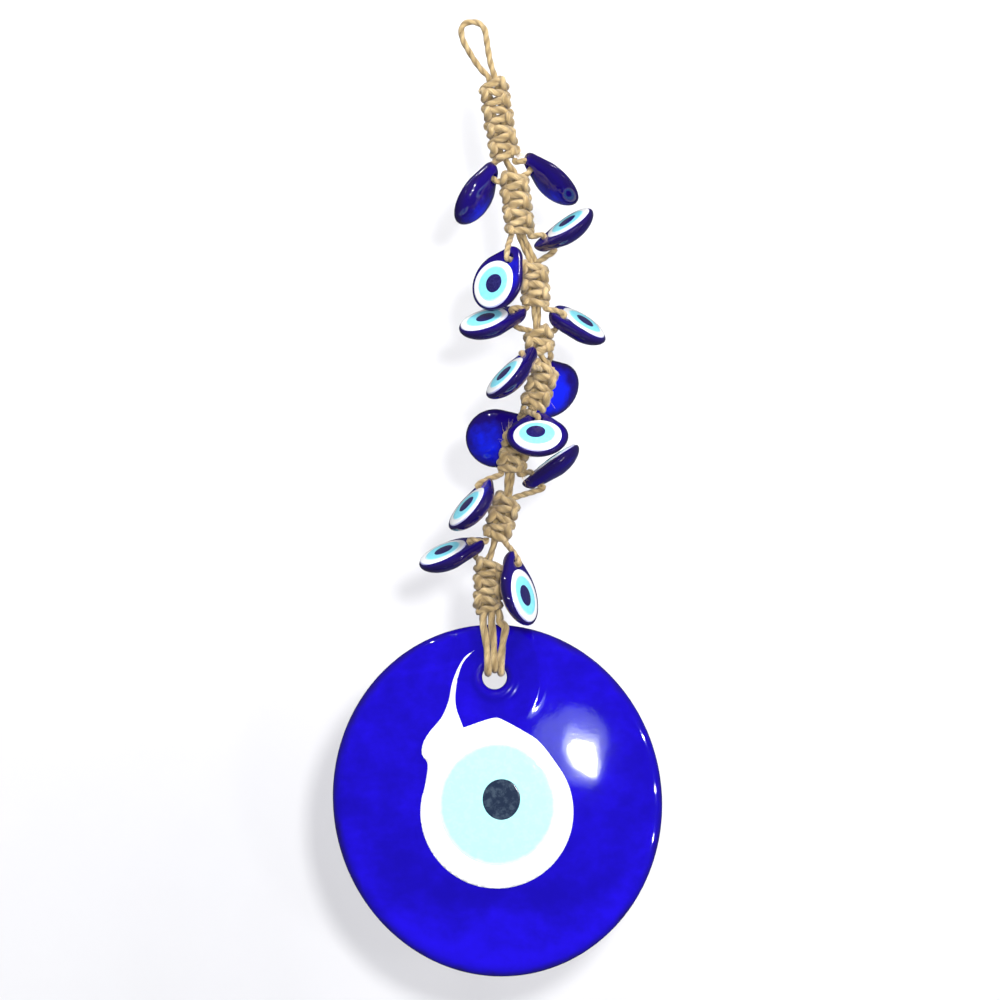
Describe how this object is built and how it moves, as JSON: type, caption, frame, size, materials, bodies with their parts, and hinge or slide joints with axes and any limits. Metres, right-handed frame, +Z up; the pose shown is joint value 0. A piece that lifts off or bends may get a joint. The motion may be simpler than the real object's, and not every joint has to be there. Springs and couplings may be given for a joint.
{
  "type": "evil eye ornament",
  "caption": "Wall hanging: a cobalt glass eye disc on a cord sling under a square-knotted jute strap with small glass eyes hanging in pairs and a nail loop on top.",
  "frame": {"origin": "the nail point, at the inside of the hanging loop's top", "axes": "+Z up along the hanging, -Y out of the front where the eyes look, +X to the right seen from the front"},
  "size_m": [0.1102, 0.0447, 0.3203],
  "materials": {
    "jute_cord": "twisted two-ply jute, natural, slightly hairy",
    "cobalt_glass": "deep cobalt pressed glass, glossy",
    "milk_glass": "opaque white glass, glossy",
    "ice_glass": "opaque very pale blue glass, glossy",
    "slate_glass": "opaque dark slate glass, glossy"
  },
  "bodies": {
    "loop": {"hanging_loop": "jute_cord"},
    "strap_0": {"sinnet_0": "jute_cord"},
    "strap_1": {"sinnet_1": "jute_cord"},
    "strap_2": {"sinnet_2": "jute_cord"},
    "strap_3": {"sinnet_3": "jute_cord"},
    "strap_4": {"sinnet_4": "jute_cord"},
    "strap_5": {"sinnet_5": "jute_cord"},
    "strap_6": {"sinnet_6": "jute_cord"},
    "strap_7": {"sinnet_7": "jute_cord"},
    "sling": {"disc_sling": "jute_cord"},
    "disc": {"disc_glass": "cobalt_glass", "disc_white": "milk_glass", "disc_iris": "ice_glass", "disc_pupil": "slate_glass"},
    "eye_01": {"bead_01_glass": "cobalt_glass", "bead_01_white": "milk_glass", "bead_01_iris": "ice_glass"},
    "eye_02": {"bead_02_glass": "cobalt_glass", "bead_02_white": "milk_glass", "bead_02_iris": "ice_glass"},
    "eye_03": {"bead_03_glass": "cobalt_glass", "bead_03_white": "milk_glass", "bead_03_iris": "ice_glass"},
    "eye_04": {"bead_04_glass": "cobalt_glass", "bead_04_white": "milk_glass", "bead_04_iris": "ice_glass"},
    "eye_05": {"bead_05_glass": "cobalt_glass", "bead_05_white": "milk_glass", "bead_05_iris": "ice_glass"},
    "eye_06": {"bead_06_glass": "cobalt_glass", "bead_06_white": "milk_glass", "bead_06_iris": "ice_glass"},
    "eye_07": {"bead_07_glass": "cobalt_glass", "bead_07_white": "milk_glass", "bead_07_iris": "ice_glass"},
    "eye_08": {"bead_08_glass": "cobalt_glass", "bead_08_white": "milk_glass", "bead_08_iris": "ice_glass"},
    "eye_09": {"bead_09_glass": "cobalt_glass", "bead_09_white": "milk_glass", "bead_09_iris": "ice_glass"},
    "eye_10": {"bead_10_glass": "cobalt_glass", "bead_10_white": "milk_glass", "bead_10_iris": "ice_glass"},
    "eye_11": {"bead_11_glass": "cobalt_glass", "bead_11_white": "milk_glass", "bead_11_iris": "ice_glass"},
    "eye_12": {"bead_12_glass": "cobalt_glass", "bead_12_white": "milk_glass", "bead_12_iris": "ice_glass"},
    "eye_13": {"bead_13_glass": "cobalt_glass", "bead_13_white": "milk_glass", "bead_13_iris": "ice_glass"},
    "eye_14": {"bead_14_glass": "cobalt_glass", "bead_14_white": "milk_glass", "bead_14_iris": "ice_glass"}
  },
  "joints": [
    {"name": "loop_swing", "type": "hinge", "parent": "loop", "child": "strap_0", "pos_m": [0.0064, 0, -0.0178], "axis": [0, 1, 0], "range_deg": [-15, 15]},
    {"name": "strap_bend_1", "type": "hinge", "parent": "strap_0", "child": "strap_1", "pos_m": [0.011, 0, -0.0456], "axis": [1, 0, 0], "range_deg": [-10, 10]},
    {"name": "strap_bend_2", "type": "hinge", "parent": "strap_1", "child": "strap_2", "pos_m": [0.016, 0, -0.0706], "axis": [1, 0, 0], "range_deg": [-10, 10]},
    {"name": "strap_bend_3", "type": "hinge", "parent": "strap_2", "child": "strap_3", "pos_m": [0.0211, 0, -0.0946], "axis": [1, 0, 0], "range_deg": [-10, 10]},
    {"name": "strap_bend_4", "type": "hinge", "parent": "strap_3", "child": "strap_4", "pos_m": [0.0227, 0, -0.1106], "axis": [1, 0, 0], "range_deg": [-10, 10]},
    {"name": "strap_bend_5", "type": "hinge", "parent": "strap_4", "child": "strap_5", "pos_m": [0.0201, 0, -0.1286], "axis": [1, 0, 0], "range_deg": [-10, 10]},
    {"name": "strap_bend_6", "type": "hinge", "parent": "strap_5", "child": "strap_6", "pos_m": [0.0124, 0, -0.1501], "axis": [1, 0, 0], "range_deg": [-10, 10]},
    {"name": "strap_bend_7", "type": "hinge", "parent": "strap_6", "child": "strap_7", "pos_m": [0.0074, 0, -0.1726], "axis": [1, 0, 0], "range_deg": [-10, 10]},
    {"name": "sling_swing", "type": "hinge", "parent": "strap_7", "child": "sling", "pos_m": [0.0062, 0, -0.1982], "axis": [1, 0, 0], "range_deg": [-20, 20]},
    {"name": "disc_rock", "type": "hinge", "parent": "sling", "child": "disc", "pos_m": [0.0072, 0, -0.2179], "axis": [0, 1, 0], "range_deg": [-12, 12]},
    {"name": "eye_01_turn", "type": "hinge", "parent": "strap_1", "child": "eye_01", "pos_m": [0.005, -0.0006, -0.0502], "axis": [-0.7828, 0.3915, 0.4836], "range_deg": [-15, 15]},
    {"name": "eye_02_turn", "type": "hinge", "parent": "strap_1", "child": "eye_02", "pos_m": [0.0207, 0.0008, -0.0466], "axis": [0.645, 0.3249, 0.6917], "range_deg": [-15, 15]},
    {"name": "eye_03_turn", "type": "hinge", "parent": "strap_2", "child": "eye_03", "pos_m": [0.0248, 0, -0.0723], "axis": [-0.5451, -0.2694, 0.7939], "range_deg": [-15, 15]},
    {"name": "eye_04_turn", "type": "hinge", "parent": "strap_2", "child": "eye_04", "pos_m": [0.0129, -0.0048, -0.0787], "axis": [-0.5921, -0.7485, 0.2985], "range_deg": [-15, 15]},
    {"name": "eye_05_turn", "type": "hinge", "parent": "strap_3", "child": "eye_05", "pos_m": [0.0136, -0.002, -0.0972], "axis": [-0.2706, -0.4004, 0.8755], "range_deg": [-15, 15]},
    {"name": "eye_06_turn", "type": "hinge", "parent": "strap_3", "child": "eye_06", "pos_m": [0.0292, 0.0009, -0.0987], "axis": [0.5293, -0.306, 0.7913], "range_deg": [-15, 15]},
    {"name": "eye_07_turn", "type": "hinge", "parent": "strap_4", "child": "eye_07", "pos_m": [0.0179, -0.0088, -0.1116], "axis": [-0.6842, -0.2651, 0.6794], "range_deg": [-15, 15]},
    {"name": "eye_08_turn", "type": "hinge", "parent": "strap_4", "child": "eye_08", "pos_m": [0.0247, 0.0076, -0.116], "axis": [-0.5149, 0.7268, 0.4545], "range_deg": [-15, 15]},
    {"name": "eye_09_turn", "type": "hinge", "parent": "strap_5", "child": "eye_09", "pos_m": [0.015, 0.0076, -0.1344], "axis": [0.1069, 0.9502, 0.2926], "range_deg": [-15, 15]},
    {"name": "eye_10_turn", "type": "hinge", "parent": "strap_5", "child": "eye_10", "pos_m": [0.0215, -0.0074, -0.133], "axis": [0, -0.6018, 0.7986], "range_deg": [-15, 15]},
    {"name": "eye_11_turn", "type": "hinge", "parent": "strap_6", "child": "eye_11", "pos_m": [0.0208, 0.0015, -0.1516], "axis": [-0.563, -0.0143, 0.8263], "range_deg": [-15, 15]},
    {"name": "eye_12_turn", "type": "hinge", "parent": "strap_6", "child": "eye_12", "pos_m": [0.0034, -0.0025, -0.1554], "axis": [-0.7077, -0.2849, 0.6465], "range_deg": [-15, 15]},
    {"name": "eye_13_turn", "type": "hinge", "parent": "strap_7", "child": "eye_13", "pos_m": [-0.0002, 0, -0.1744], "axis": [-0.3812, -0.3083, 0.8716], "range_deg": [-15, 15]},
    {"name": "eye_14_turn", "type": "hinge", "parent": "strap_7", "child": "eye_14", "pos_m": [0.0132, -0.0061, -0.1803], "axis": [0.8666, -0.4228, 0.265], "range_deg": [-15, 15]}
  ]
}
